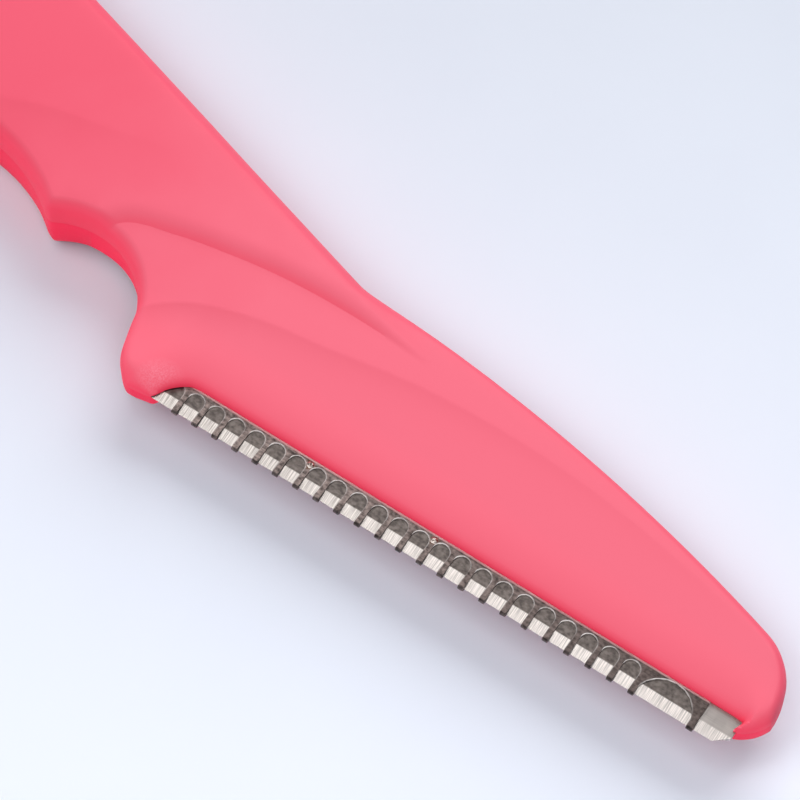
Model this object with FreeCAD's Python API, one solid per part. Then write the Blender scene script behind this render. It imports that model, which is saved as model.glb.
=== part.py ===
"""Eyebrow razor: a guarded blade held between two moulded half-shells.

Frame: +X along the handle towards the head, +Y towards the spine, +Z out of the front face.
The origin is on the flat land of the handle's back, on which the razor lies.
The blade frame (u, v) starts at the heel end of the cutting edge: u runs along the edge
towards the toe, and v from the edge towards the spine. Sizes are millimetres and degrees.
"""

import FreeCAD, Part
import math
import os

from FreeCAD import Placement, Rotation, Vector

# Handle outline at the parting plane
handle_length = 110.0  # butt to the heel of the cutting edge, along X
handle_width = 11.3  # spine to the ridges beside the finger scoop
butt_width = 8.4
butt_round = 3.6  # length of the rounded butt
butt_bow = 1.1  # bulge of each corner of the butt
end_flat = 0.5  # small flat where the two rails of the outline meet
rest_ahead = 54.0  # origin to the heel of the cutting edge, along X
heel_drop = 7.95  # centreline of the handle down to the heel of the cutting edge
wing_back = 13.1  # heel of the cutting edge back to the wing corner, along X
shank_shares = (0.04, 0.88)  # part of the grip behind the scoop without creases
scoop_length = 9.0  # finger scoop behind the wing corner
scoop_depth = 0.95
notch_depth = 2.15  # finger rest between the wing corner and the heel cheek

# Blade and its folded guard
blade_angle = 16.7  # cutting edge turned from the handle's spine
blade_start = -0.9  # hidden heel end of the blade, along u
blade_length = 39.3
blade_width = 6.0
blade_thickness = 0.25
bevel_width = 0.68
corner_u = 0.86  # cut-off corners of the blade
corner_v = 0.66
guard_start = 0.34  # heel end of the guard, along u
guard_short = 2.05  # bare blade left at the toe
guard_thickness = 0.08
guard_depth = 3.2  # cutting edge to the guard's hidden border
guard_overhang = 0.06  # cutting edge to the inside of the fold
guard_pitch = 1.4
guard_finger = 0.34
guard_end_finger = 0.39
window_height = 1.6  # cutting edge to the top of a window
arch_flat_count = 8  # flats in which the arch of a window is pierced
toe_window = 3.42  # width of the last window, to the nearest half pitch
toe_window_height = 1.72
toe_window_spring = 0.4  # where its elliptical arch starts
weld_foot = 0.44  # spot weld across its foot
weld_top = 0.26
weld_height = 0.05
weld_side_count = 8
weld_shares = (0.3, 0.565)  # places of the spot welds along the row of windows
weld_below = 0.12  # weld below the tops of the windows

# Head outline at the parting plane, around the blade
spine_kink_ahead = 2.7  # heel of the cutting edge to the kink of the spine, along X
head_spine_bow = 1.05  # rise of the head's spine above its chord
shoulder_short = 1.1  # toe end of the blade back to the shoulder of the tip
shoulder_height = 6.8
tip_past = 1.7  # toe end of the blade to the end of the tip
tip_height = 2.75
tip_bow = 0.62  # bulge of the tip above its end
tip_under_bow = 0.4  # bulge of the tip below its end
cheek_top = (-3.7, 3.5)  # where the finger rest meets the heel cheek
cheek_side = (-3.15, 2.0)
cheek_base = (-2.2, -0.05)
cheek_neck_bow = 0.1  # bulge of the cheek above and below its side point
cheek_bow = 0.45
lip_rise = (1.7, 1.83)  # where the lip of the plastic levels out over the blade
lip_bow = 0.25  # hollow of the lip where it rises from the heel
lip_toe_height = 1.85

# Creases of the faces, in the blade frame
swoosh_path = ((-8.7, 6.2), (-7.7, 8.2), (-3.4, 9.4), (1.2, 10.2), (5.9, 10.45), (11.8, 10.05))
lobe_path = ((-4.4, 2.6), (-1.8, 5.15), (2.4, 7.25), (12.4, 9.0), (21.6, 9.5))
lobe_toe_path = ((-7.7, 8.05), (-0.4, 5.95))  # its last points, from the toe end of the blade
leaf_path = ((-25.0, 7.2), (-18.7, 10.3), (-12.3, 12.7), (-6.5, 14.5))

# Front face above the parting plane
front_wing = 2.15
front_butt = 1.9
front_neck = 1.65
front_tip = 1.1
front_grip_wall = 0.5  # upright part of the edge
front_head_wall = 0.3
front_step_width = 1.3  # step from the neck up to the wing

# Rear face below the parting plane
rest_depth = 3.1  # flat land of the handle's back
land_cut = 0.2  # swell of the back that the land cuts away
rear_neck = 1.7
rear_tip = 1.3
rear_grip_wall = 1.9
rear_head_wall = 0.85
rear_step_width = 6.0

# Rolled edges and creases of both faces
grip_round = 0.75  # finger side of the grip
cheek_round = 0.9
lip_round = 2.2
tip_round = 0.9
grip_spine_round = 1.2
head_spine_round = 0.6
crown = 0.2  # swell of a face between its edges
lobe_drop = 0.34  # fall of the front's crease between the neck and the blade holder
lobe_run = 1.2
lobe_toe_share = 0.2  # share of that fall left at the toe
leaf_drop = 0.16  # fall of the front's soft crease across the grip
leaf_run = 1.5
ridge_fall = (-1.0, 0.6)  # where the wing falls to the head, beside the line of the spine
swoosh_fade = (3.0, 13.5)  # where the wing's step fades, along u
swoosh_tip_share = 0.3  # share of the step's width left there
edge_change = (-9.0, -2.0)  # where the grip's edge turns into the head's, along u
leaf_fade = (-16.0, -5.0)  # where the soft crease fades, along u

# Fits between the pieces
pack_clearance = 0.02  # blade and guard in their pocket
post_radius = 0.7  # posts that hold the blade, between the guard and the blade's back
post_clearance = 0.05
post_inset = 8.2  # ends of the blade to its posts
post_play = 0.6  # extra length of the toe hole
post_root = 0.6
pin_radius = 1.1  # pins that join the shells along the handle
pin_length = 1.2
pin_clearance = 0.04
socket_depth = 0.85
socket_gap = 0.1  # room past the end of a post or pin
core_count = 3  # hollows that keep the walls of the handle even
core_end = 5.95  # solid ends of the handle beyond the hollows
core_width = 4.6
core_front = 1.1
core_rear = 1.5
core_rib = 5.0  # rib beside each hollow, which carries a pin

# Control net of the moulded faces
leg_poles = (4, 3, 5, 5, 10, 14, 4, 6, 4, 6, 24, 6)  # poles along each leg of a rail
edge_poles = 4  # poles round each edge of a section
flat_poles = 8  # steps between the edges of a section
edge_limit = 0.4  # largest share of a section that one edge takes
heel_leg_counts = (8, 9)  # legs of the finger side up to the base of the cheek and to the heel
patch_leg_counts = (1, 3, 4, 5, 6, 10, 11)  # legs after which the faces are cut into patches
shank_patch_number = 1  # patch of the grip that runs straight
crease_points = 36
spine_lag = 3.0  # spine pole of the wing corner behind it, along X
spine_shares = (0.53, 0.59, 0.67, 0.75)  # spine poles of the cheek, from there to the kink

tilt = math.radians(blade_angle)
blade_end = blade_start + blade_length
half_blade = blade_thickness / 2
half_pack = half_blade + guard_thickness
butt_x = rest_ahead - handle_length
wing_x = rest_ahead - wing_back
spine_y = handle_width / 2
ridge_y = -handle_width / 2
butt_y = spine_y - butt_width / 2
tip_u = blade_end + tip_past
post_v = (guard_depth + blade_width) / 2
core_room = wing_x - butt_x - 2 * core_end
core_length = (core_room - (core_count - 1) * core_rib) / core_count
core_step = core_length + core_rib
core_start = butt_x + core_end


def clamp(value):
    return min(1.0, max(0.0, value))


def ramp(value, span):
    """Smooth rise from 0 to 1 over a span."""
    share = clamp((value - span[0]) / (span[1] - span[0]))
    return share * share * (3 - 2 * share)


def mix(first, second, share):
    return first + (second - first) * share


def between(start, end, shares):
    """Points at these shares of a straight line."""
    return [(mix(start[0], end[0], share), mix(start[1], end[1], share)) for share in shares]


def head(u, v):
    """Plan point of blade frame coordinates."""
    x = rest_ahead + u * math.cos(tilt) - v * math.sin(tilt)
    y = -heel_drop + u * math.sin(tilt) + v * math.cos(tilt)
    return (x, y)


def along_edge(x, y):
    """Blade frame coordinate u of a plan point."""
    return (x - rest_ahead) * math.cos(tilt) + (y + heel_drop) * math.sin(tilt)


def at_blade(shape):
    """Carry a shape from the blade frame to the handle's."""
    place = Placement(Vector(rest_ahead, -heel_drop, 0), Rotation(Vector(0, 0, 1), blade_angle))
    shape.Placement = place.multiply(shape.Placement)
    return shape


def leg(start, end, rise, count):
    """Points of an arc that rises to the left of its chord, without its end."""
    chord = math.dist(start, end)
    along = ((end[0] - start[0]) / chord, (end[1] - start[1]) / chord)
    half = 2 * math.atan(2 * rise / chord)
    points = []
    for k in range(count):
        reach = chord * k / count
        lift = 0.0
        if half != 0.0:
            radius = chord / (2 * math.sin(half))
            turn = half * (2 * k / count - 1)
            reach = chord / 2 + radius * math.sin(turn)
            lift = radius * (math.cos(turn) - math.cos(half))
        x = start[0] + along[0] * reach - along[1] * lift
        y = start[1] + along[1] * reach + along[0] * lift
        points.append((x, y))
    return points


def rail(stops, rises):
    """One side of the outline, from the butt to the tip."""
    points = []
    for k, count in enumerate(leg_poles):
        points += leg(stops[k], stops[k + 1], rises[k], count)
    return points + stops[-1:]


def finger_side():
    grip_start = (butt_x + butt_round, butt_y - butt_width / 2)
    grip_end = (wing_x - scoop_length, ridge_y)
    stops = [
        (butt_x, butt_y - end_flat / 2),
        grip_start,
        *between(grip_start, grip_end, shank_shares),
        grip_end,
        (wing_x, ridge_y),
        head(*cheek_top),
        head(*cheek_side),
        head(*cheek_base),
        head(0, cheek_base[1]),
        head(*lip_rise),
        head(blade_end, lip_toe_height),
        head(tip_u, tip_height - end_flat / 2),
    ]
    rises = (
        -butt_bow,
        0,
        0,
        0,
        scoop_depth,
        notch_depth,
        -cheek_neck_bow,
        -cheek_bow,
        0,
        lip_bow,
        0,
        -tip_under_bow,
    )
    return rail(stops, rises)


def spine_side():
    kink_x = rest_ahead + spine_kink_ahead
    lag_x = wing_x - spine_lag
    grip_end_x = lag_x - scoop_length
    stops = [
        (butt_x, butt_y + end_flat / 2),
        (butt_x + butt_round, spine_y),
        *between((butt_x + butt_round, spine_y), (grip_end_x, spine_y), shank_shares),
        (grip_end_x, spine_y),
        (lag_x, spine_y),
    ]
    stops += between((lag_x, spine_y), (kink_x, spine_y), spine_shares)
    stops += [
        (kink_x, spine_y),
        head(blade_end - shoulder_short, shoulder_height),
        head(tip_u, tip_height + end_flat / 2),
    ]
    rises = (butt_bow, 0, 0, 0, 0, 0, 0, 0, 0, 0, head_spine_bow, tip_bow)
    return rail(stops, rises)


def stretches(rail, leg_counts):
    """Parts of a rail that meet after these counts of legs."""
    ends = [0] + [sum(leg_poles[:count]) for count in leg_counts] + [len(rail) - 1]
    return [rail[start : end + 1] for start, end in zip(ends, ends[1:])]


def crease(points):
    """Fine polyline of a smooth curve through blade frame points."""
    curve = Part.BSplineCurve()
    curve.interpolate([Vector(*head(u, v), 0) for u, v in points])
    return [(p.x, p.y) for p in curve.discretize(Number=crease_points)]


def offset_from(line, x, y):
    """Signed distance of a plan point from a polyline, positive on its left."""
    nearest = math.inf
    side = 0.0
    for (ax, ay), (bx, by) in zip(line, line[1:]):
        dx = bx - ax
        dy = by - ay
        share = clamp(((x - ax) * dx + (y - ay) * dy) / (dx * dx + dy * dy))
        gap = math.hypot(x - ax - share * dx, y - ay - share * dy)
        if gap < nearest:
            nearest = gap
            side = dx * (y - ay) - dy * (x - ax)
    return math.copysign(nearest, side)


finger_rail = finger_side()
finger_stretches = stretches(finger_rail, heel_leg_counts)
spine_rail = spine_side()
swoosh = crease(swoosh_path)
lobe = crease(lobe_path + tuple((blade_end + u, v) for u, v in lobe_toe_path))
leaf = crease(leaf_path)


def rolled(gap, width):
    """Rise of a rounded edge, from 0 at the outline to 1 past its width."""
    return math.sqrt(1 - (1 - clamp(gap / width)) ** 2)


def relief(x, y):
    """Plan facts that shape both faces at a point."""
    u = along_edge(x, y)
    gaps = [abs(offset_from(stretch, x, y)) for stretch in finger_stretches]
    low = min(gaps)
    high = abs(offset_from(spine_rail, x, y))
    toe = clamp(u / tip_u)
    head_share = ramp(u, edge_change)
    tip_share = ramp(u, (blade_end - tip_round, blade_end + tip_round))
    rounds = (grip_round, cheek_round, mix(lip_round, tip_round, tip_share))
    fade = 1 - ramp(u, swoosh_fade)
    lobe_fall = 1 - math.exp(min(0, offset_from(lobe, x, y)) / lobe_run)
    leaf_fall = 1 - math.exp(min(0, offset_from(leaf, x, y)) / leaf_run)
    return {
        "low_edge": math.prod(rolled(gap, width) for gap, width in zip(gaps, rounds)),
        "high": high,
        "low_round": rounds[gaps.index(low)],
        "spine_round": mix(head_spine_round, grip_spine_round, fade),
        "head": head_share,
        "toe": toe,
        "butt": clamp((wing_x - x) / (wing_x - butt_x)),
        "step": offset_from(swoosh, x, y),
        "fade": fade,
        "ridge": 1 - ramp(y - spine_y, ridge_fall),
        "lobe": lobe_fall * mix(1, lobe_toe_share, toe),
        "leaf": leaf_fall * (1 - ramp(u, leaf_fade)),
        "swell": 4 * low * high / max(end_flat, low + high) ** 2,
    }


def face_height(facts, grip, holder, step_width, grip_wall, head_wall):
    """Height of a moulded face over the parting plane, with a step from the holder to the grip."""
    width = step_width * mix(swoosh_tip_share, 1, facts["fade"])
    wing = facts["fade"] * facts["ridge"] * (1 - (1 - clamp(facts["step"] / width)) ** 2)
    level = mix(holder, grip, wing) + crown * facts["swell"]
    wall = mix(grip_wall, head_wall, facts["head"])
    spine_edge = rolled(facts["high"], facts["spine_round"])
    return mix(wall, level, facts["low_edge"] * spine_edge)


def front_height(facts):
    grip = mix(front_wing, front_butt, facts["butt"]) - leaf_drop * facts["leaf"]
    holder = mix(front_neck, front_tip, facts["toe"]) - lobe_drop * facts["lobe"]
    return face_height(facts, grip, holder, front_step_width, front_grip_wall, front_head_wall)


def rear_height(facts):
    grip = rest_depth + land_cut
    holder = mix(rear_neck, rear_tip, facts["toe"])
    return -face_height(facts, grip, holder, rear_step_width, rear_grip_wall, rear_head_wall)


def section_places(width, low_round, spine_round):
    """Places of the poles across a section: even turns round the edges, even steps between."""
    low = min(low_round, edge_limit * width)
    high = min(spine_round, edge_limit * width)
    turns = [1 - math.cos(math.pi / 2 * k / edge_poles) for k in range(edge_poles)]
    steps = [mix(low, width - high, k / flat_poles) for k in range(flat_poles + 1)]
    return [low * turn for turn in turns] + steps + [width - high * turn for turn in reversed(turns)]


def control_net():
    """Cross-sections of the outline from the finger side to the spine, butt to tip."""
    sections = []
    for (ax, ay), (bx, by) in zip(finger_rail, spine_rail):
        width = math.dist((ax, ay), (bx, by))
        low = relief(ax, ay)
        high = relief(bx, by)
        section = []
        for place in section_places(width, low["low_round"], high["spine_round"]):
            x = mix(ax, bx, place / width)
            y = mix(ay, by, place / width)
            section.append((x, y, relief(x, y)))
        sections.append(section)
    return sections


def clamped_knots(rows):
    """Knots and multiplicities of a clamped cubic that keeps the mean spacing of its rows of poles."""
    places = [0.0]
    for row, following in zip(rows, rows[1:]):
        gaps = [pole.distanceToPoint(other) for pole, other in zip(row, following)]
        places.append(places[-1] + sum(gaps) / len(gaps))
    inner = [sum(places[k : k + 3]) / 3 for k in range(1, len(places) - 3)]
    return [places[0]] + inner + [places[-1]], [4] + [1] * len(inner) + [4]


def spans(knots, stops):
    """Neighbouring pairs of the knots at these stops."""
    cuts = [knots[stop] for stop in stops]
    return list(zip(cuts, cuts[1:]))


def lengths(curve, cuts):
    """Edges of a curve between its cuts."""
    edges = []
    for cut in cuts:
        piece = curve.copy()
        piece.segment(*cut)
        edges.append(piece.toShape())
    return edges


def patches(surface, along, across):
    """Faces of a surface between its cuts, with straight lines along the shank of the grip."""
    faces = []
    for place, u_span in enumerate(along):
        for v_span in across:
            piece = surface.copy()
            piece.segment(*u_span, *v_span)
            faces.append(piece.toShape())
            if place == shank_patch_number:
                ends = [lengths(surface.uIso(u), [v_span])[0] for u in u_span]
                faces[-1] = Part.makeRuledSurface(*ends)
    return faces


def flat_face(edges):
    return Part.Face(Part.Wire(Part.__sortEdges__(edges)))


def shell_blank(sections, height):
    """Solid between the parting plane and a moulded face, with an upright wall below its rolled edge."""
    poles = [[Vector(x, y, height(facts)) for x, y, facts in section] for section in sections]
    feet = [[Vector(x, y, 0) for x, y, facts in (section[0], section[-1])] for section in sections]
    u_knots, u_mults = clamped_knots(poles)
    v_knots, v_mults = clamped_knots(list(zip(*poles)))
    surface = Part.BSplineSurface()
    surface.buildFromPolesMultsKnots(poles, u_mults, v_mults, u_knots, v_knots, False, False, 3, 3)
    leg_ends = [sum(leg_poles[:count]) for count in patch_leg_counts]
    along = spans(u_knots, [0] + leg_ends + [-1])
    edge_stops = [edge_poles // 2, edge_poles]
    across = spans(v_knots, [0] + edge_stops + [-1 - stop for stop in reversed(edge_stops)] + [-1])
    faces = patches(surface, along, across)
    rim = []
    for side in (0, -1):
        foot = Part.BSplineCurve()
        foot.buildFromPolesMultsKnots([pair[side] for pair in feet], u_mults, u_knots, False, 3)
        low_edges = lengths(foot, along)
        high_edges = lengths(surface.vIso(v_knots[side]), along)
        faces += [Part.makeRuledSurface(*edges) for edges in zip(low_edges, high_edges)]
        rim += low_edges
    for place in (0, -1):
        base = Part.makeLine(*feet[place])
        uprights = [Part.makeLine(feet[place][side], poles[place][side]) for side in (0, -1)]
        faces.append(flat_face(lengths(surface.uIso(u_knots[place]), across) + uprights + [base]))
        rim.append(base)
    skin = Part.makeCompound(faces + [flat_face(rim)])
    skin.sewShape()
    solid = Part.Solid(Part.Shell(skin.Faces))
    if solid.Volume < 0:
        solid.reverse()
    return solid


def plan_prism(points, low, high):
    """Prism between two heights over a plan polygon."""
    corners = [Vector(x, y, low) for x, y in points]
    return Part.Face(Part.makePolygon(corners + corners[:1])).extrude(Vector(0, 0, high - low))


def strip(section, start, length):
    """Prism along the cutting edge over a section of (v, z) points."""
    corners = [Vector(start, v, z) for v, z in section]
    return Part.Face(Part.makePolygon(corners + corners[:1])).extrude(Vector(length, 0, 0))


def rod(radius, x, y, low, high):
    return Part.makeCylinder(radius, high - low, Vector(x, y, low))


def slot(length, width, x, y, low, high):
    """Prism over a round-ended slot along X."""
    radius = width / 2
    reach = length / 2 - radius
    bar = Part.makeBox(2 * reach, width, high - low, Vector(x - reach, y - radius, low))
    ends = [rod(radius, x + side * reach, y, low, high) for side in (-1, 1)]
    return bar.fuse(ends).removeSplitter()


def make_blade():
    """Strip with the corners of its edge cut off, ground from both faces."""
    plan = [
        (blade_start + corner_u, 0),
        (blade_end - corner_u, 0),
        (blade_end, corner_v),
        (blade_end, blade_width),
        (blade_start, blade_width),
        (blade_start, corner_v),
    ]
    section = [
        (0, 0),
        (bevel_width, half_blade),
        (blade_width, half_blade),
        (blade_width, -half_blade),
        (bevel_width, -half_blade),
    ]
    ground = strip(section, blade_start, blade_length)
    hole = 2 * (post_radius + post_clearance)
    heel_hole = rod(hole / 2, blade_start + post_inset, post_v, -half_pack, half_pack)
    toe_hole = slot(hole + post_play, hole, blade_end - post_inset, post_v, -half_pack, half_pack)
    return plan_prism(plan, -half_pack, half_pack).common(ground).cut([heel_hole, toe_hole])


def fold(radius):
    """Solid inside one surface of the guard, pressed round the cutting edge in flats."""
    centre = half_blade - guard_overhang
    bevel = radius * math.tan(math.pi / 8)
    section = [
        (guard_depth, radius),
        (centre - bevel, radius),
        (centre - radius, bevel),
        (centre - radius, -bevel),
        (centre - bevel, -radius),
        (guard_depth, -radius),
    ]
    return strip(section, guard_start, blade_end - guard_short - guard_start)


def window(start, width, spring, height):
    """Tool for an arched window through the fold and both leaves of the guard."""
    end = start + width
    arch = leg((start, spring), (end, spring), height - spring, arch_flat_count)
    plan = [(start, -half_pack)] + arch + [(end, spring), (end, -half_pack)]
    return plan_prism(plan, -half_pack, half_pack)


toe_side = blade_end - guard_short - guard_end_finger
window_count = round((toe_side - toe_window - guard_start) / guard_pitch)


def make_guard():
    """Thin strip pierced with a row of windows and folded over the cutting edge."""
    width = guard_pitch - guard_finger
    tools = []
    for k in range(window_count):
        tools.append(window(guard_start + k * guard_pitch, width, window_height - width / 2, window_height))
    toe_start = guard_start + window_count * guard_pitch
    tools.append(window(toe_start, toe_side - toe_start, toe_window_spring, toe_window_height))
    return fold(half_pack).cut([fold(half_blade)] + tools)


def ring(width, middle):
    """Many-sided outline of a spot weld at one height."""
    turn = 360 / weld_side_count
    turns = [Rotation(Vector(0, 0, 1), turn * k) for k in range(weld_side_count + 1)]
    return Part.makePolygon([middle + turn.multVec(Vector(width / 2, 0, 0)) for turn in turns])


def make_welds():
    """Flat nuggets of the spot welds on the front leaf of the guard, at the roots of its fingers."""
    nuggets = []
    for share in weld_shares:
        u = guard_start + round(share * window_count) * guard_pitch - guard_finger / 2
        foot = Vector(u, window_height - weld_below, half_pack)
        rings = [ring(weld_foot, foot), ring(weld_top, foot + Vector(0, 0, weld_height))]
        nuggets.append(Part.makeLoft(rings, True, True))
    return Part.makeCompound(nuggets)


def pack_pocket():
    """Room for the blade and its guard, half in each shell."""
    gap = pack_clearance
    below = -guard_depth
    slope = corner_u / corner_v
    heel = blade_start - gap
    toe = blade_end + gap
    back = blade_width + gap
    blade_plan = [
        (heel, corner_v - gap),
        (heel + slope * (corner_v - gap - below), below),
        (toe, below),
        (toe, back),
        (heel, back),
    ]
    guard_toe = blade_end - guard_short + gap
    guard_back = guard_depth + gap
    guard_plan = [
        (guard_start - gap, below),
        (guard_toe, below),
        (guard_toe, guard_back),
        (guard_start - gap, guard_back),
    ]
    blade_room = plan_prism(blade_plan, -half_blade - gap, half_blade + gap)
    guard_room = plan_prism(guard_plan, -half_pack - gap, half_pack + gap)
    return at_blade(blade_room.fuse(guard_room))


def handle_middle(x):
    return butt_y * clamp((wing_x - x) / (wing_x - butt_x))


def cores(low, high):
    middles = [core_start + core_length / 2 + k * core_step for k in range(core_count)]
    return [slot(core_length, core_width, x, handle_middle(x), low, high) for x in middles]


def pins(radius, low, high):
    places = [core_start - core_rib / 2 + k * core_step for k in range(core_count + 1)]
    return [rod(radius, x, handle_middle(x), low, high) for x in places]


def posts(radius, low, high):
    places = (blade_start + post_inset, blade_end - post_inset)
    return [at_blade(rod(radius, u, post_v, low, high)) for u in places]


def make_front_shell(sections):
    sockets = pins(pin_radius + pin_clearance, 0, pin_length + socket_gap)
    sockets += posts(post_radius + post_clearance, 0, socket_depth)
    return shell_blank(sections, front_height).cut([pack_pocket()] + cores(0, core_front) + sockets)


def make_rear_shell(sections):
    size = 2 * (handle_length + blade_length)
    land = Part.makeBox(size, size, rest_depth, Vector(-size / 2, -size / 2, -2 * rest_depth))
    shell = shell_blank(sections, rear_height).cut([land, pack_pocket()] + cores(-core_rear, 0))
    studs = pins(pin_radius, -core_rear, pin_length)
    studs += posts(post_radius, -half_pack - post_root, socket_depth - socket_gap)
    return shell.fuse(studs)


def main():
    sections = control_net()
    pieces = {
        "front_shell": make_front_shell(sections),
        "rear_shell": make_rear_shell(sections),
        "blade": at_blade(make_blade()),
        "guard": at_blade(make_guard()),
        "guard_welds": at_blade(make_welds()),
    }
    os.makedirs("parts", exist_ok=True)
    for name, shape in pieces.items():
        shape.translate(Vector(0, 0, rest_depth))
        shape.exportStep("parts/" + name + ".step")


main()
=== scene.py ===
import math

import bmesh
import bpy
import numpy as np
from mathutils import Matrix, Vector
from mathutils.geometry import delaunay_2d_cdt
from mathutils.kdtree import KDTree


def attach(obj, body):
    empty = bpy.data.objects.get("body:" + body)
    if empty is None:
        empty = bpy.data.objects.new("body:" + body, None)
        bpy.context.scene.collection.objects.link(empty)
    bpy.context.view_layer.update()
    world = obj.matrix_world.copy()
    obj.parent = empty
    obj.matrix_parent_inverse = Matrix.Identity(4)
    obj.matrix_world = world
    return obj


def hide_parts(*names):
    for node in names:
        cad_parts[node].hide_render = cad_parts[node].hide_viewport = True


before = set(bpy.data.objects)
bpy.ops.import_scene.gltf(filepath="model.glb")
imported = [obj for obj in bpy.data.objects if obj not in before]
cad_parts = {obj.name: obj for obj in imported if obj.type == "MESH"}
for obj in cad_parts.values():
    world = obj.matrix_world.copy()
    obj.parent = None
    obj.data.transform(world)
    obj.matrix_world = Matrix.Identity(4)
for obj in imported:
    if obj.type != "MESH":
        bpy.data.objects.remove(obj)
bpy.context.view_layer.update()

MM = 0.001

# Sizes in millimetres. Most are the CAD's; the outlines of the notch, cheek and tip and the creases of the front face
# follow the photo more closely. Points in pairs are in the blade frame: u along the edge from its heel, v towards
# the spine.
HANDLE_LENGTH, HANDLE_WIDTH, BUTT_WIDTH = 110.0, 11.3, 8.4
BUTT_ROUND, BUTT_BOW, END_FLAT = 3.6, 1.1, 0.5
REST_AHEAD, HEEL_DROP, REST_DEPTH = 54.0, 7.95, 3.1
WING_BACK, SCOOP_LENGTH, SCOOP_DEPTH, NOTCH_DEPTH = 13.1, 9.0, 0.95, 2.0
BLADE_ANGLE, BLADE_START, BLADE_END, BLADE_WIDTH = math.radians(16.7), -0.9, 38.4, 6.0
HALF_BLADE, HALF_PACK, BEVEL_WIDTH, PACK_CLEARANCE = 0.125, 0.205, 0.68, 0.02
HEEL_CUT, HEEL_CUT_RUN = 0.64, 5.0  # slanted heel of the blade's pocket: its start over the edge, and its run
GUARD_START, GUARD_SHORT, GUARD_DEPTH = 0.34, 2.05, 3.2
GUARD_PITCH, GUARD_FINGER, WINDOW_HEIGHT = 1.4, 0.34, 1.6
TOE_WINDOW = 32.54  # start of the wide window, along u
TOE_ARCH = (34.25, -0.05, 1.77)  # middle of its arch in u and v, and radius
CHEEK_HIGHLIGHT_SPOT = (0.0541, -0.0075, 0.0046)  # middle of the highlight painted into the cheek's colour, in metres
WELDS = ((9.97, 1.48), (18.37, 1.48))  # middles of the spot welds in u and v
LIP_SLOPE = 0.00054  # rise of the lip over the guard, towards the toe
KINK_AHEAD, HEAD_SPINE_BOW = 2.7, 1.05
SHOULDER = (BLADE_END - 1.1, 6.8)
TIP_U, TIP_HEIGHT, TIP_BOW, TIP_UNDER_BOW = BLADE_END + 1.4, 2.85, 0.66, 0.25
# Corner of plastic beside the blade's toe
TOE_CORNER = ((BLADE_END - 0.6, 1.85), (BLADE_END + 0.1, 1.8), (BLADE_END - 0.2, 1.0))
CHEEK_TOP, CHEEK_SIDE, CHEEK_BASE, HEEL = (-3.75, 3.55), (-3.33, 1.95), (-1.7, -0.25), (0.0, 0.0)
CHEEK_NECK_BOW, CHEEK_BOW = 0.03, 0.3
LIP_RISE, LIP_BOW = (1.7, 1.83), 0.25
SWOOSH = ((-8.7, 6.0), (-7.6, 7.6), (-4.4, 8.7), (-1.3, 9.32), (1.9, 9.8), (5.6, 10.05), (11.8, 9.85))
LOBE = ((-4.4, 2.6), (-1.8, 5.15), (2.4, 6.75), (7.0, 7.5), (12.4, 8.4), (21.6, 8.7))
LOBE_TOE = ((BLADE_END - 7.7, 7.55), (BLADE_END - 0.4, 5.9))
LEAF = ((-25.0, 7.2), (-18.7, 10.2), (-14.9, 11.5), (-12.3, 12.0), (-6.5, 13.4))
FRONT_WING, FRONT_BUTT, FRONT_NECK, FRONT_TIP = 2.15, 1.9, 1.65, 1.1
FRONT_GRIP_WALL, FRONT_HEAD_WALL, FRONT_STEP = 0.5, 0.3, 1.15
LAND_CUT, REAR_NECK, REAR_TIP = 0.2, 1.7, 1.3
REAR_GRIP_WALL, REAR_HEAD_WALL, REAR_STEP = 1.9, 0.85, 6.0
GRIP_ROUND, CHEEK_ROUND, LIP_ROUND, TIP_ROUND = 0.75, 1.2, 2.2, 0.9
GRIP_SPINE_ROUND, HEAD_SPINE_ROUND, CROWN = 1.2, 0.6, 0.2
LOBE_DROP, LOBE_RUN, LOBE_TOE_SHARE = 0.36, 0.95, 0.25
LEAF_DROP, LEAF_RUN = 0.34, 1.3
SWOOSH_FADE, SWOOSH_TIP_SHARE, RIDGE_FALL = (3.0, 13.5), 0.3, (-1.0, 0.6)
EDGE_CHANGE, LEAF_FADE = (-9.0, -2.0), (-16.0, -5.0)
SPINE_LEGS = (34.0, 30.0, 12.0, 4.0, 4.0, 4.0)  # shares of the straight spine between its stops
FINGER_POLES = (5, 11, 12, 16, 4, 6, 4, 6, 30, 4, 3, 7)
SPINE_POLES = (5, 11, 12, 16, 4, 6, 4, 6, 30, 7)

# Fineness of the shells
POLE_STEPS = 5
EDGE_ROWS = 8
CREASE_STEP = 0.2
FINE_STEP, COARSE_STEP = 0.5, 1.5
FINE_FROM = 26.0  # X where the creased part starts
SEAM_BEVEL = 0.03  # softened rim of each shell at the parting line
SMOOTH_ANGLE = math.radians(32)
EDGE_KEEP = 0.93  # edge points nearer to the outline than this share of their gap are dropped
LINE_CLEAR, CREASE_CLEAR, GRID_CLEAR = 0.05, 0.1, 0.3  # distances kept from the outline
ROW_SPACING, GRID_SPACING = 0.06, 0.6  # distance between rows' points, and between the grid's as a share of its step
MERGE_DISTANCE = 1e-6
SWOOSH_ROWS = (0.12, 0.25, 0.4, 0.6, 0.85, 1.1, 1.3, -0.15, -0.35)  # distances of the rows beside a crease
LOBE_ROWS = (0.15, 0.35, -0.12, -0.25, -0.4, -0.6, -0.85, -1.15, -1.5, -2.0)
LEAF_ROWS = (0.2, 0.5, -0.15, -0.35, -0.6, -0.9, -1.3, -1.8)
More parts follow.
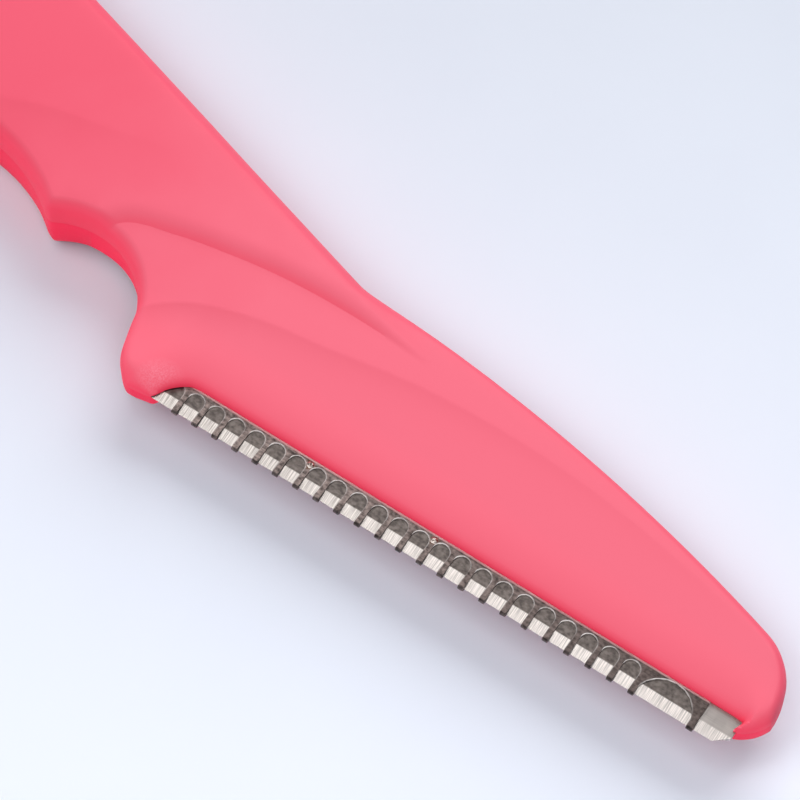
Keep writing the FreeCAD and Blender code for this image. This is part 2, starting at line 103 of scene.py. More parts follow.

# Colours, and pairs of colours between which a surface varies
# The _WALL_SHADE colours are painted shade: deeper red for faces turned sideways
PINK_FACE, PINK_HANDLE, PINK_WALL_SHADE = (0.5, 0.15, 0.205, 1), (0.46, 0.1, 0.15, 1), (0.8, 0.075, 0.135, 1)
ROSE_FACE, ROSE_HANDLE, ROSE_WALL_SHADE = (0.77, 0.13, 0.185, 1), (0.75, 0.095, 0.15, 1), (0.9, 0.035, 0.1, 1)
# CHEEK_PAINTED_HIGHLIGHT is a painted highlight on the cheek; GLOW_RED is the colour of the painted glow
CHEEK_PAINTED_HIGHLIGHT, GLOW_RED = (0.55, 0.32, 0.385, 1), (1.0, 0.0, 0.03, 1)
# BLADE_GUARD_SHADE is painted shade of the guard on the covered flat; BLADE_BARE is the bare flat beyond the guard
BLADE_GUARD_SHADE = ((0.1, 0.084, 0.077, 1), (0.22, 0.188, 0.17, 1))
BLADE_BARE = ((0.3, 0.27, 0.25, 1), (0.52, 0.47, 0.44, 1))
BEVEL_GROUND = ((0.25, 0.225, 0.21, 1), (0.45, 0.41, 0.385, 1))  # at the heel and at the toe
BEVEL_SHINE = ((0.6, 0.55, 0.515, 1), (0.82, 0.75, 0.705, 1))
GUARD_DARK = ((0.065, 0.05, 0.046, 1), (0.36, 0.285, 0.26, 1))
# GUARD_RIM_HIGHLIGHT is a painted highlight on the windows' rims; GUARD_PINK_REFLECTION is a painted reflection of
# the pink plastic along the guard's top
GUARD_STAIN, GUARD_PINK_REFLECTION, GUARD_RIM_HIGHLIGHT = (0.16, 0.07, 0.035, 1), (0.85, 0.6, 0.59, 1), (0.85, 0.82, 0.8, 1)
WELD_TINTS = ((0.16, 0.09, 0.06, 1), (0.8, 0.74, 0.68, 1))
PAPER = ((0.82, 0.86, 0.96, 1), (0.64, 0.675, 0.755, 1))  # near and far
SKY, SKY_STRENGTH = (0.9, 0.93, 1, 1), 0.3

# Strengths of the painted red glow: emission on the faces, on walls turned towards -Y and near the lip, standing in
# for light scattered through the translucent plastic
PINK_GLOW, ROSE_GLOW, WALL_GLOW, LIP_GLOW = 0.4, 0.1, 0.28, 0.065

# Name, distances from the target (image right, image up, height), size in metres and power
LAMPS = (
    ("key", (0.2, 0.44, 0.33), 0.5, 2.95),
    ("top", (-0.1, 0.09, 0.5), 0.12, 0.22),
    ("left_fill", (-0.3, 0.0, 0.4), 0.3, 0.72),
    ("near_fill", (0.0, -0.3, 0.4), 0.3, 0.55),
)
FLOOR_HALF, FLOOR_CELLS = 1.5, 8

BUTT_X, WING_X = REST_AHEAD - HANDLE_LENGTH, REST_AHEAD - WING_BACK
SPINE_Y, RIDGE_Y = HANDLE_WIDTH / 2, -HANDLE_WIDTH / 2
BUTT_Y = SPINE_Y - BUTT_WIDTH / 2


def clamp(value):
    return np.clip(value, 0.0, 1.0)


def ramp(value, span):
    share = clamp((value - span[0]) / (span[1] - span[0]))
    return share * share * (3 - 2 * share)


def mix(first, second, share):
    return first + (second - first) * share


def head(u, v):
    """Plan point of blade frame coordinates, in millimetres."""
    x = REST_AHEAD + u * math.cos(BLADE_ANGLE) - v * math.sin(BLADE_ANGLE)
    y = -HEEL_DROP + u * math.sin(BLADE_ANGLE) + v * math.cos(BLADE_ANGLE)
    return (x, y)


def leg(start, end, rise, count):
    """Points of an arc that rises to the left of its chord, without its end."""
    start, end = np.array(start), np.array(end)
    chord = np.linalg.norm(end - start)
    along = (end - start) / chord
    left = np.array([-along[1], along[0]])
    share = np.arange(count) / count
    reach, lift = chord * share, 0 * share
    if rise:
        half = 2 * math.atan(2 * rise / chord)
        radius = chord / (2 * math.sin(half))
        turn = half * (2 * share - 1)
        reach = chord / 2 + radius * np.sin(turn)
        lift = radius * (np.cos(turn) - math.cos(half))
    return start + reach[:, None] * along + lift[:, None] * left


def rail(stops, rises, poles):
    legs = [leg(a, b, rise, n) for a, b, rise, n in zip(stops, stops[1:], rises, poles)]
    return np.vstack(legs + [stops[-1:]])


def spline(poles, steps):
    """Points of a clamped cubic B-spline, with this many steps between poles."""
    count = len(poles)
    knots = np.concatenate([[0] * 3, np.arange(count - 2), [count - 3] * 3]).astype(float)
    places = np.linspace(0, count - 3, steps * (count - 3) + 1)
    places[-1] -= 1e-9
    basis = ((knots[:-1, None] <= places) & (places < knots[1:, None])).astype(float)
    for degree in (1, 2, 3):
        rows = len(knots) - degree - 1
        first = knots[degree : degree + rows] - knots[:rows]
        second = knots[degree + 1 : degree + 1 + rows] - knots[1 : rows + 1]
        rise = np.divide(places - knots[:rows, None], first[:, None], where=first[:, None] > 0,
                         out=np.zeros((rows, len(places))))
        fall = np.divide(knots[degree + 1 : degree + 1 + rows, None] - places, second[:, None],
                         where=second[:, None] > 0, out=np.zeros((rows, len(places))))
        basis = rise * basis[:rows] + fall * basis[1 : rows + 1]
    return basis.T @ np.array(poles)


def finger_side():
    stops = [
        (BUTT_X, BUTT_Y - END_FLAT / 2),
        (BUTT_X + BUTT_ROUND, BUTT_Y - BUTT_WIDTH / 2),
        (WING_X - SCOOP_LENGTH, RIDGE_Y),
        (WING_X, RIDGE_Y),
        head(*CHEEK_TOP),
        head(*CHEEK_SIDE),
        head(*CHEEK_BASE),
        head(*HEEL),
        head(*LIP_RISE),
        *(head(*place) for place in TOE_CORNER),
        head(TIP_U, TIP_HEIGHT - END_FLAT / 2),
    ]
    rises = (-BUTT_BOW, 0, SCOOP_DEPTH, NOTCH_DEPTH, -CHEEK_NECK_BOW, -CHEEK_BOW, 0, LIP_BOW, 0, 0, 0,
             -TIP_UNDER_BOW)
    return spline(rail(stops, rises, FINGER_POLES), POLE_STEPS)


def spine_side():
    kink_x = REST_AHEAD + KINK_AHEAD
    shares = np.cumsum((0, BUTT_ROUND, *SPINE_LEGS))
    shares = shares / shares[-1]
    stops = [(BUTT_X, BUTT_Y + END_FLAT / 2), (BUTT_X + BUTT_ROUND, SPINE_Y)]
    stops += [(mix(BUTT_X + BUTT_ROUND, kink_x, share), SPINE_Y) for share in shares[1:-1]]
    stops += [(kink_x, SPINE_Y), head(*SHOULDER), head(TIP_U, TIP_HEIGHT + END_FLAT / 2)]
    rises = (BUTT_BOW, 0, 0, 0, 0, 0, 0, 0, HEAD_SPINE_BOW, TIP_BOW)
    return spline(rail(stops, rises, SPINE_POLES), POLE_STEPS)


def crease(points):
    """Evenly spaced polyline of a smooth curve through blade frame points."""
    points = np.array([head(u, v) for u, v in points])
    lengths = np.concatenate([[0], np.cumsum(np.linalg.norm(np.diff(points, axis=0), axis=1))])
    tangents = np.gradient(points, lengths, axis=0, edge_order=2)
    fine = []
    for k in range(len(points) - 1):
        span = lengths[k + 1] - lengths[k]
        t = np.linspace(0, 1, max(2, round(span / CREASE_STEP)), endpoint=False)[:, None]
        fine.append((2 * t**3 - 3 * t**2 + 1) * points[k] + (3 * t**2 - 2 * t**3) * points[k + 1]
                    + (t**3 - 2 * t**2 + t) * span * tangents[k] + (t**3 - t**2) * span * tangents[k + 1])
    return np.vstack(fine + [points[-1:]])


def offset_from(line, points):
    """Signed distances of plan points from a polyline, positive on its left."""
    nearest = np.full(len(points), np.inf)
    side = np.zeros(len(points))
    for a, b in zip(line, line[1:]):
        run = b - a
        away = points - a
        share = clamp(away @ run / (run @ run))
        gap = np.linalg.norm(away - share[:, None] * run, axis=1)
        closer = gap < nearest
        nearest[closer] = gap[closer]
        side[closer] = (run[0] * away[:, 1] - run[1] * away[:, 0])[closer]
    return np.copysign(nearest, side)


finger_rail, spine_rail = finger_side(), spine_side()
heel_places = [np.argmin(np.linalg.norm(finger_rail - head(*place), axis=1)) for place in (CHEEK_BASE, HEEL)]
stretch_ends = [0, *heel_places, len(finger_rail) - 1]
finger_stretches = [finger_rail[a : b + 1] for a, b in zip(stretch_ends, stretch_ends[1:])]
outline = np.vstack([finger_rail, spine_rail[::-1]])
swoosh, lobe, leaf = crease(SWOOSH), crease(LOBE + LOBE_TOE), crease(LEAF)


def along_edge(points):
    away = points - (REST_AHEAD, -HEEL_DROP)
    return away @ (math.cos(BLADE_ANGLE), math.sin(BLADE_ANGLE))


def edge_rounds(points):
    """Widths of the rolled edges, for the stretches of the finger side and for the spine."""
    u = along_edge(points)
    lip = mix(LIP_ROUND, TIP_ROUND, ramp(u, (BLADE_END - TIP_ROUND, BLADE_END + TIP_ROUND)))
    low = np.array([np.full(len(u), GRIP_ROUND), np.full(len(u), CHEEK_ROUND), lip])
    return low, mix(GRIP_SPINE_ROUND, HEAD_SPINE_ROUND, ramp(u, SWOOSH_FADE))


def rolled(gap, width):
    return np.sqrt(1 - (1 - clamp(gap / width)) ** 2)


def face_heights(points, grip, holder, step_width, grip_wall, head_wall):
    """Heights of a moulded face over the parting plane, rolled down to its walls at the edges."""
    u = along_edge(points)
    gaps = np.abs([offset_from(stretch, points) for stretch in finger_stretches])
    low, high = gaps.min(axis=0), np.abs(offset_from(spine_rail, points))
    fade = 1 - ramp(u, SWOOSH_FADE)
    width = step_width * mix(SWOOSH_TIP_SHARE, 1, fade)
    ridge = 1 - ramp(points[:, 1] - SPINE_Y, RIDGE_FALL)
    wing = fade * ridge * (1 - (1 - clamp(offset_from(swoosh, points) / width)) ** 2)
    swell = 4 * low * high / np.maximum(END_FLAT, low + high) ** 2
    level = mix(holder, grip, wing) + CROWN * swell
    wall = mix(grip_wall, head_wall, ramp(u, EDGE_CHANGE))
    low_rounds, spine_round = edge_rounds(points)
    return mix(wall, level, rolled(gaps, low_rounds).prod(axis=0) * rolled(high, spine_round))


def front_heights(points):
    u = along_edge(points)
    toe = clamp(u / TIP_U)
    lobe_fall = 1 - np.exp(np.minimum(0, offset_from(lobe, points)) / LOBE_RUN)
    leaf_fall = 1 - np.exp(np.minimum(0, offset_from(leaf, points)) / LEAF_RUN)
    butt = clamp((WING_X - points[:, 0]) / (WING_X - BUTT_X))
    grip = mix(FRONT_WING, FRONT_BUTT, butt) - LEAF_DROP * leaf_fall * (1 - ramp(u, LEAF_FADE))
    holder = mix(FRONT_NECK, FRONT_TIP, toe) - LOBE_DROP * lobe_fall * mix(1, LOBE_TOE_SHARE, toe)
    return face_heights(points, grip, holder, FRONT_STEP, FRONT_GRIP_WALL, FRONT_HEAD_WALL)


def rear_heights(points):
    holder = mix(REAR_NECK, REAR_TIP, clamp(along_edge(points) / TIP_U))
    grip = np.full(len(points), REST_DEPTH + LAND_CUT)
    heights = face_heights(points, grip, holder, REAR_STEP, REAR_GRIP_WALL, REAR_HEAD_WALL)
    return -np.minimum(heights, REST_DEPTH)


def inward_normals(loop):
    runs = np.roll(loop, -1, axis=0) - np.roll(loop, 1, axis=0)
    runs /= np.linalg.norm(runs, axis=1)[:, None]
    return np.stack([-runs[:, 1], runs[:, 0]], axis=1)


def beside(line, gap):
    """Points at a distance to the left of a polyline."""
    runs = np.gradient(line, axis=0)
    runs /= np.linalg.norm(runs, axis=1)[:, None]
    return line + gap * np.stack([-runs[:, 1], runs[:, 0]], axis=1)


def inside_depth(points):
    """Distance of points from the outline, negative outside."""
    return offset_from(np.vstack([outline, outline[:1]]), points)


def plan_points(creases):
    """Plan points of a face: rows along its edges and creases, filled with an even grid."""
    low, high = edge_rounds(outline)
    places = np.arange(len(finger_rail))
    stretch = np.searchsorted(heel_places, places, side="right")
    widths = np.concatenate([low[stretch, places], high[len(finger_rail) :]])
    inward = inward_normals(outline)
    rows = []
    for k in range(1, EDGE_ROWS + 1):
        gaps = widths * (1 - math.cos(math.pi / 2 * k / EDGE_ROWS))
        row = outline + inward * gaps[:, None]
        rows.append(row[inside_depth(row) > EDGE_KEEP * gaps])
    for line, gaps in creases:
        for gap in gaps:
            row = beside(line, gap)
            rows.append(row[inside_depth(row) > CREASE_CLEAR])
    low_corner, high_corner = outline.min(axis=0), outline.max(axis=0)
    for step, start, end in ((COARSE_STEP, low_corner[0], FINE_FROM), (FINE_STEP, FINE_FROM, high_corner[0])):
        xs, ys = np.meshgrid(np.arange(start, end, step), np.arange(low_corner[1], high_corner[1], step))
        xs[1::2] += step / 2
        grid = np.stack([xs.ravel(), ys.ravel()], axis=1)
        rows.append(grid[inside_depth(grid) > GRID_CLEAR])
    return rows


def thinned(rows, fixed):
    """Points of all rows that keep clear of the fixed ones and of each other."""
    spacing = [ROW_SPACING] * (len(rows) - 2) + [GRID_SPACING * COARSE_STEP, GRID_SPACING * FINE_STEP]
    tree_points = [tuple(p) for p in fixed]
    kept = []
    for row, clear in zip(rows, spacing):
        tree = KDTree(len(tree_points))
        for k, (x, y) in enumerate(tree_points):
            tree.insert((x, y, 0), k)
        tree.balance()
        fresh = [tuple(p) for p in row if tree.find((p[0], p[1], 0))[2] > clear]
        tree_points += fresh
        kept += fresh
    return kept


def shell(name, heights, creases, up):
    """One closed shell: its moulded face, its wall and its parting face."""
    lines = [line[inside_depth(line) > LINE_CLEAR] for line, gaps in creases]
    fixed = np.vstack([outline] + lines)
    loose = thinned(plan_points(creases), fixed)
    count = len(outline)
    edges = [(k, (k + 1) % count) for k in range(count)]
    start = count
    for line in lines:
        edges += [(k, k + 1) for k in range(start, start + len(line) - 1)]
        start += len(line)
    points = [Vector(p) for p in list(map(tuple, fixed)) + loose]
    plan, _, faces, _, _, _ = delaunay_2d_cdt(points, edges, [tuple(range(count))], 1, MERGE_DISTANCE)
    plan = np.array([tuple(p) for p in plan])
    z = heights(plan)
    mesh = bmesh.new()
    verts = [mesh.verts.new((x, y, h)) for (x, y), h in zip(plan, z)]
    for face in faces:
        mesh.faces.new([verts[k] for k in face])
    rim = [e for e in mesh.edges if e.is_boundary]
    bmesh.ops.recalc_face_normals(mesh, faces=mesh.faces)
    for depth, inset in ((SEAM_BEVEL, 0.0), (0.0, SEAM_BEVEL)):
        ring = bmesh.ops.extrude_edge_only(mesh, edges=rim)["geom"]
        rim = [e for e in ring if isinstance(e, bmesh.types.BMEdge)]
        for vert in [v for v in ring if isinstance(v, bmesh.types.BMVert)]:
            vert.co.z = up * depth
            if inset:
                near = np.argmin(np.linalg.norm(outline - vert.co.xy, axis=1))
                normal = inward_normals(outline)[near]
                vert.co.xy = vert.co.xy + Vector(normal) * inset
    bmesh.ops.holes_fill(mesh, edges=rim, sides=0)
    bmesh.ops.recalc_face_normals(mesh, faces=mesh.faces)
    for vert in mesh.verts:
        vert.co = Vector((vert.co.x, vert.co.y, vert.co.z + REST_DEPTH)) * MM
    return piece_of(name, mesh)


def prism(name, plan, low, high):
    """Closed prism over blade frame points, in metres."""
    mesh = bmesh.new()
    rings = []
    for z in (low, high):
        rings.append([mesh.verts.new(Vector((*head(u, v), z + REST_DEPTH)) * MM) for u, v in plan])
        mesh.faces.new(rings[-1])
    for k in range(len(plan)):
        after = (k + 1) % len(plan)
        mesh.faces.new((rings[0][k], rings[0][after], rings[1][after], rings[1][k]))
    bmesh.ops.recalc_face_normals(mesh, faces=mesh.faces)
    return piece_of(name, mesh)


def add(name, data):
    obj = bpy.data.objects.new(name, data)
    bpy.context.scene.collection.objects.link(obj)
    return obj


def piece_of(name, mesh):
    data = bpy.data.meshes.new(name)
    mesh.to_mesh(data)
    mesh.free()
    return add(name, data)


def paint(obj, material):
    obj.data.materials.clear()
    obj.data.materials.append(material)


def cut(obj, tools):
    """Cut the tools out of a piece and drop them."""
    for tool in tools:
        modifier = obj.modifiers.new(tool.name, "BOOLEAN")
        modifier.operation, modifier.solver, modifier.object = "DIFFERENCE", "EXACT", tool
    result = bpy.data.meshes.new_from_object(obj.evaluated_get(bpy.context.evaluated_depsgraph_get()))
    obj.modifiers.clear()
    obj.data = result
    for tool in tools:
        bpy.data.objects.remove(tool)


def pocket():
    """Room for the blade and its guard between the shells."""
    below, gap = -GUARD_DEPTH, PACK_CLEARANCE
    heel, toe, back = BLADE_START - gap, BLADE_END + gap, BLADE_WIDTH + gap
    guard_toe = BLADE_END - GUARD_SHORT + gap
    blade_plan = [(heel, HEEL_CUT), (heel + HEEL_CUT_RUN, below), (toe, below), (toe, back), (heel, back)]
    guard_plan = [(GUARD_START - gap, below), (guard_toe, below), (guard_toe, GUARD_DEPTH + gap),
                  (GUARD_START - gap, GUARD_DEPTH + gap)]
    return [
        prism("blade_room", blade_plan, -HALF_BLADE - gap, HALF_BLADE + gap),
        prism("guard_room", guard_plan, -HALF_PACK - gap, HALF_PACK + gap),
    ]


def smooth(obj):
    obj.data.polygons.foreach_set("use_smooth", [True] * len(obj.data.polygons))
    obj.data.set_sharp_from_angle(angle=SMOOTH_ANGLE)


class Nodes:
    """Short way to write a material's node tree."""

    def __init__(self, name):
        self.material = bpy.data.materials.new(name)
        self.material.use_nodes = True
        self.tree = self.material.node_tree
        self.shader = self.tree.nodes["Principled BSDF"]

    def node(self, kind, values=(), **settings):
        node = self.tree.nodes.new("ShaderNode" + kind)
        for key, value in settings.items():
            setattr(node, key, value)
        for key, value in dict(values).items():
            self.set(node.inputs[key], value)
        return node

    def set(self, socket, value):
        if isinstance(value, bpy.types.NodeSocket):
            self.tree.links.new(value, socket)
        else:
            socket.default_value = value

    def finish(self, **values):
        for key, value in values.items():
            self.set(self.shader.inputs[key.replace("_", " ")], value)
        return self.material

    def math(self, operation, first, second=0.0, third=0.0):
        return self.node("Math", {0: first, 1: second, 2: third}, operation=operation).outputs[0]

    def noise(self, vector, scale, detail=3.0):
        return self.node("TexNoise", {"Vector": vector, "Scale": scale, "Detail": detail}).outputs["Fac"]

    def times(self, first, second):
        return self.math("MULTIPLY", first, second)

    def mix(self, share, first, second):
        return self.node("Mix", {0: share, 2: first, 3: second}).outputs[0]

    def distance(self, place, spot):
        return self.node("VectorMath", {0: place, 1: spot}, operation="DISTANCE").outputs["Value"]

    def bump(self, height, strength, depth):
        return self.node("Bump", {"Strength": strength, "Distance": depth, "Height": height}).outputs[0]

    def remap(self, value, low, high, first=0.0, second=1.0):
        ends = {"Value": value, 1: low, 2: high, 3: first, 4: second}
        return self.node("MapRange", ends).outputs[0]

    def blend(self, share, first, second):
        node = self.node("Mix", {0: share}, data_type="RGBA")
        self.set(node.inputs[6], first)
        self.set(node.inputs[7], second)
        return node.outputs[2]


def plastic(name, face, handle, wall, face_glow):
    """Satin moulded plastic with fine grain, deeper along the handle, with painted shade on its sideways faces, a
    painted highlight on the cheek and a painted red glow.
    """
    nodes = Nodes(name)
    place = nodes.node("TexCoord").outputs["Object"]
    along = nodes.node("SeparateXYZ", {0: place}).outputs[0]
    facing = nodes.node("SeparateXYZ", {0: nodes.node("NewGeometry").outputs["Normal"]})
    upright = facing.outputs[2]
    # Painted shade: faces turned sideways, more so those turned towards +Y, take the darker, redder shaded wall
    # colour
    level = nodes.remap(nodes.math("ABSOLUTE", upright), 0.25, 0.9)
    lit_share = nodes.times(level, nodes.remap(facing.outputs[1], 0.08, 0.5, 1.0, 0.4))
    # Tone share: mostly a gradient along X, the deeper handle tone towards the butt, with a little noise at its
    # border
    mottle = nodes.math("MULTIPLY_ADD", nodes.noise(place, 180.0), 0.012, along)
    grain = nodes.noise(place, 11000.0, 1.0)
    waves = nodes.noise(place, 700.0, 2.0)
    height = nodes.math("ADD", nodes.times(grain, 0.5), waves)
    tone = nodes.blend(nodes.remap(mottle, 0.042, 0.06), handle, face)
    # Painted highlight: a lighter spot on the cheek, speckled by the grain
    away = nodes.distance(place, CHEEK_HIGHLIGHT_SPOT)
    near = nodes.remap(away, 0.0003, 0.0018, 1.0, 0.0)
    tone = nodes.blend(nodes.times(near, nodes.remap(grain, 0.35, 0.65, 0.1, 0.95)), tone, CHEEK_PAINTED_HIGHLIGHT)
    # Painted glow: red emission on walls turned towards -Y, on the faces and more near the lip, none on faces turned
    # down
    wall_glow = nodes.remap(facing.outputs[1], -0.25, 0.25, WALL_GLOW, 0.0)
    lip_glow = nodes.remap(blade_place(nodes)[2], 2.0, 5.2, LIP_GLOW, 0.0)
    glow = nodes.mix(lit_share, wall_glow, nodes.math("ADD", lip_glow, face_glow))
    return nodes.finish(
        Base_Color=nodes.blend(lit_share, wall, tone),
        Roughness=nodes.remap(grain, 0.3, 0.7, 0.46, 0.58),
        Specular_IOR_Level=0.15,
        Normal=nodes.bump(height, 0.2, 0.00003),
        Emission_Color=GLOW_RED,
        Emission_Strength=nodes.times(glow, nodes.remap(upright, -0.7, 0.0)),
    )


def blade_place(nodes):
    """Blade frame coordinates in millimetres, as a vector and as u and v."""
    place = nodes.node("TexCoord").outputs["Object"]
    heel = (REST_AHEAD * MM, -HEEL_DROP * MM, REST_DEPTH * MM)
    turned = nodes.node("Mapping", {"Vector": place, "Location": heel, "Rotation": (0, 0, BLADE_ANGLE),
                                    "Scale": (MM, MM, MM)}, vector_type="TEXTURE").outputs[0]
    split = nodes.node("SeparateXYZ", {0: turned})
    return turned, split.outputs[0], split.outputs[1]


def streaks(nodes, place, across, along, detail=4.0):
    """Noise drawn out into fine lines: cycles per millimetre along u and v."""
    stretched = nodes.node("VectorMath", {0: place, 1: (across, along, 1.0)}, operation="MULTIPLY").outputs[0]
    return nodes.noise(stretched, 1.0, detail)


def blade_steel():
    """Flat with fine lines along the strip, darker under the guard (painted shade of the guard) than where it is
    bare, and a bright bevel ground square to its edge.
    """
    nodes = Nodes("blade_steel")
    place, u, v = blade_place(nodes)
    bevel = nodes.remap(v, BEVEL_WIDTH - 0.03, BEVEL_WIDTH + 0.03, 1.0, 0.0)
    grind = streaks(nodes, place, 14.0, 0.5)
    rolling = streaks(nodes, place, 0.4, 22.0)
    patches = streaks(nodes, place, 3.0, 4.0)
    # Painted shade: the flat under the guard, seen through its windows, is darker than the bare flat beyond it
    shaded_flat = nodes.blend(nodes.remap(patches, 0.35, 0.65), *BLADE_GUARD_SHADE)
    bare = nodes.remap(u, BLADE_END - GUARD_SHORT - 0.05, BLADE_END - GUARD_SHORT + 0.05)
    shaded_flat = nodes.blend(bare, shaded_flat, nodes.blend(rolling, *BLADE_BARE))
    toe = nodes.remap(u, 8.0, 32.0)
    ground = nodes.blend(toe, *BEVEL_GROUND)
    shine = nodes.blend(toe, *BEVEL_SHINE)
    bright = nodes.blend(nodes.remap(grind, 0.38, 0.62), ground, shine)
    lines = nodes.math("ADD", nodes.times(grind, bevel), nodes.times(rolling, 0.4))
    return nodes.finish(
        Base_Color=nodes.blend(bevel, shaded_flat, bright),
        Metallic=1.0,
        Roughness=nodes.remap(grind, 0.3, 0.7, 0.28, 0.45),
        Normal=nodes.bump(lines, 0.25, 0.00002),
    )


def arch_gap(nodes, beside, v, radius, spring):
    """Distance from the edge of an arched window whose middle lies beside the point."""
    above = nodes.math("MAXIMUM", nodes.math("SUBTRACT", v, spring), 0.0)
    squares = nodes.math("ADD", nodes.math("POWER", beside, 2.0), nodes.math("POWER", above, 2.0))
    return nodes.math("SUBTRACT", nodes.math("SQRT", squares), radius)


def guard_steel():
    """Dark rolled strip with painted highlights on the rims of its windows, a painted pink reflection of the plastic
    along its top edge and heat tints at its welds.
    """
    nodes = Nodes("guard_steel")
    place, u, v = blade_place(nodes)
    radius = (GUARD_PITCH - GUARD_FINGER) / 2
    run = nodes.math("SUBTRACT", u, GUARD_START)
    beside_window = nodes.math("SUBTRACT", nodes.math("FLOORED_MODULO", run, GUARD_PITCH), radius)
    window_gap = arch_gap(nodes, beside_window, v, radius, WINDOW_HEIGHT - radius)
    beside_toe = nodes.math("SUBTRACT", u, TOE_ARCH[0])
    toe_gap = arch_gap(nodes, beside_toe, v, TOE_ARCH[2], TOE_ARCH[1])
    at_toe = nodes.math("GREATER_THAN", u, TOE_WINDOW)
    gap = nodes.mix(at_toe, window_gap, toe_gap)
    rim_break = streaks(nodes, place, 1.3, 1.3, 2.0)
    beside = nodes.mix(at_toe, beside_window, nodes.times(beside_toe, 0.3))
    # Painted highlight on the window rims: brighter at the arches' tops and on one side, broken up by noise
    foot = nodes.remap(v, 0.0, 1.35, nodes.remap(beside, -0.1, 0.1, 0.6, 0.05), 1.0)
    lit = nodes.times(foot, nodes.remap(beside, 0.0, 0.45, 1.0, 0.4))
    arch = nodes.times(nodes.remap(gap, 0.01, 0.07, 1.0, 0.0), lit)
    rim = nodes.times(arch, nodes.remap(rim_break, 0.35, 0.6, 0.4, 1.0))
    # Painted reflection: a pale pink band along the guard just under the plastic lip
    lip = nodes.math("MULTIPLY_ADD", u, LIP_SLOPE, LIP_RISE[1] - LIP_SLOPE * LIP_RISE[0])
    pink_reflection = nodes.remap(nodes.math("SUBTRACT", lip, v), 0.08, 0.14, 1.0, 0.0)
    rolling = streaks(nodes, place, 0.5, 16.0)
    patches = streaks(nodes, place, 4.0, 5.0)
    tone = nodes.math("ADD", nodes.times(rolling, 0.25), nodes.times(patches, 0.75))
    shade = nodes.times(nodes.remap(tone, 0.35, 0.65), nodes.remap(u, 10.0, 33.0, 1.0, 0.4))
    dark = nodes.blend(shade, *GUARD_DARK)
    for weld in WELDS:
        away = nodes.distance(place, (*weld, HALF_PACK))
        stain = nodes.math("MULTIPLY_ADD", patches, 0.5, nodes.math("SUBTRACT", away, 0.25))
        dark = nodes.blend(nodes.remap(stain, 0.12, 0.38, 0.9, 0.0), dark, GUARD_STAIN)
    with_reflection = nodes.blend(nodes.times(pink_reflection, 0.85), dark, GUARD_PINK_REFLECTION)
    return nodes.finish(
        Base_Color=nodes.blend(rim, with_reflection, GUARD_RIM_HIGHLIGHT),
        Metallic=1.0,
        Roughness=nodes.remap(rolling, 0.3, 0.7, 0.3, 0.45),
        Normal=nodes.bump(rolling, 0.2, 0.00002),
    )


def weld_steel():
    """Heat-tinted spots."""
    nodes = Nodes("weld_steel")
    place = nodes.node("TexCoord").outputs["Object"]
    burn = nodes.noise(place, 9000.0)
    tone = nodes.blend(nodes.remap(burn, 0.4, 0.6), *WELD_TINTS)
    return nodes.finish(Base_Color=tone, Metallic=1.0, Roughness=nodes.remap(burn, 0.3, 0.7, 0.2, 0.5))


def floor_paper():
    """Pale cool paper, a little deeper towards the far side."""
    nodes = Nodes("floor_paper")
    place = nodes.node("TexCoord").outputs["Object"]
    split = nodes.node("SeparateXYZ", {0: place})
    mottle = nodes.noise(place, 60.0)
    depth = nodes.math("ADD", split.outputs[1], nodes.times(mottle, 0.004))
    return nodes.finish(
        Base_Color=nodes.blend(nodes.remap(depth, -0.02, 0.03), *PAPER),
        Roughness=nodes.remap(mottle, 0.3, 0.7, 0.6, 0.8),
    )


def dress_shells():
    front_creases = ((swoosh, SWOOSH_ROWS), (lobe, LOBE_ROWS), (leaf, LEAF_ROWS))
    looks = (
        ("front_skin", "front_shell", "pink_plastic", front_heights, front_creases, 1,
         plastic("pink_plastic", PINK_FACE, PINK_HANDLE, PINK_WALL_SHADE, PINK_GLOW)),
        ("rear_skin", "rear_shell", "rose_plastic", rear_heights, (), -1,
         plastic("rose_plastic", ROSE_FACE, ROSE_HANDLE, ROSE_WALL_SHADE, ROSE_GLOW)),
    )
    for name, node, slot, heights, creases, up, material in looks:
        skin = shell(name, heights, creases, up)
        cut(skin, pocket())
        smooth(skin)
        paint(skin, material)
        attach(skin, "root")
        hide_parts(node)


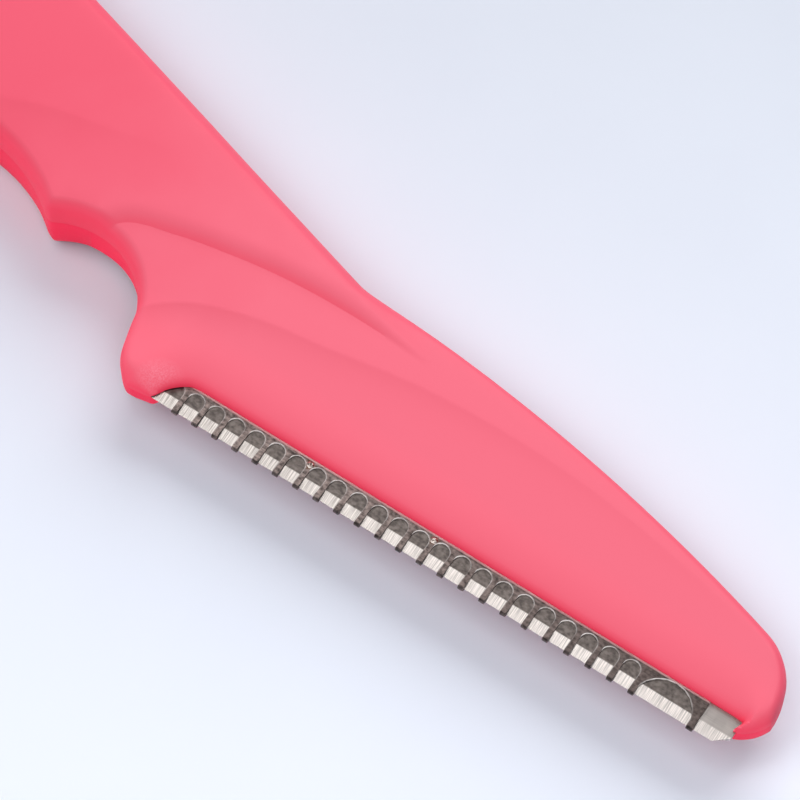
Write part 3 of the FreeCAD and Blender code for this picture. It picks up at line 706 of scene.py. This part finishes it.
def dress_steel():
    for node, material in (("blade", blade_steel()), ("guard", guard_steel()), ("guard_welds", weld_steel())):
        paint(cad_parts[node], material)


# Photo's viewpoint: target on the parting plane, image right and image up on the floor
TARGET = Vector((63.06, 2.92, REST_DEPTH)) * MM
IMAGE_RIGHT = Vector((0.6336, 0.7737, 0))
IMAGE_UP = Vector((-0.7737, 0.6336, 0))
ELEVATION, DISTANCE = math.radians(63), 208.8 * MM
FOCAL_PIXELS, IMAGE_PIXELS, SENSOR = 3654.0, 800, 36.0


def aim(obj, spot):
    obj.rotation_euler = (spot - obj.location).to_track_quat("-Z", "Y").to_euler()


def set_camera():
    camera = bpy.data.cameras.new("camera")
    camera.sensor_width = SENSOR
    camera.lens = FOCAL_PIXELS / IMAGE_PIXELS * SENSOR
    camera.clip_start, camera.clip_end = 0.001, 10
    eye = add("camera", camera)
    eye.location = TARGET - IMAGE_UP * DISTANCE * math.cos(ELEVATION)
    eye.location.z += DISTANCE * math.sin(ELEVATION)
    aim(eye, TARGET)
    bpy.context.scene.camera = eye


def softbox(name, away, size, power):
    """Square lamp at image right, image up and height distances from the target, in metres."""
    lamp = bpy.data.lights.new(name, "AREA")
    lamp.size, lamp.energy = size, power
    box = add(name, lamp)
    box.location = TARGET + IMAGE_RIGHT * away[0] + IMAGE_UP * away[1] + Vector((0, 0, away[2]))
    aim(box, TARGET)


def set_stage():
    mesh = bmesh.new()
    bmesh.ops.create_grid(mesh, x_segments=FLOOR_CELLS, y_segments=FLOOR_CELLS, size=FLOOR_HALF)
    floor = piece_of("floor", mesh)
    floor.rotation_euler.z = math.atan2(IMAGE_RIGHT.y, IMAGE_RIGHT.x)
    floor.location = (TARGET.x, TARGET.y, 0)
    paint(floor, floor_paper())
    world = bpy.data.worlds.new("world")
    world.use_nodes = True
    sky = world.node_tree.nodes["Background"]
    sky.inputs[0].default_value = SKY
    sky.inputs[1].default_value = SKY_STRENGTH
    bpy.context.scene.world = world
    for lamp in LAMPS:
        softbox(*lamp)


dress_shells()
dress_steel()
set_stage()
set_camera()
bpy.context.scene.view_settings.view_transform = "Standard"
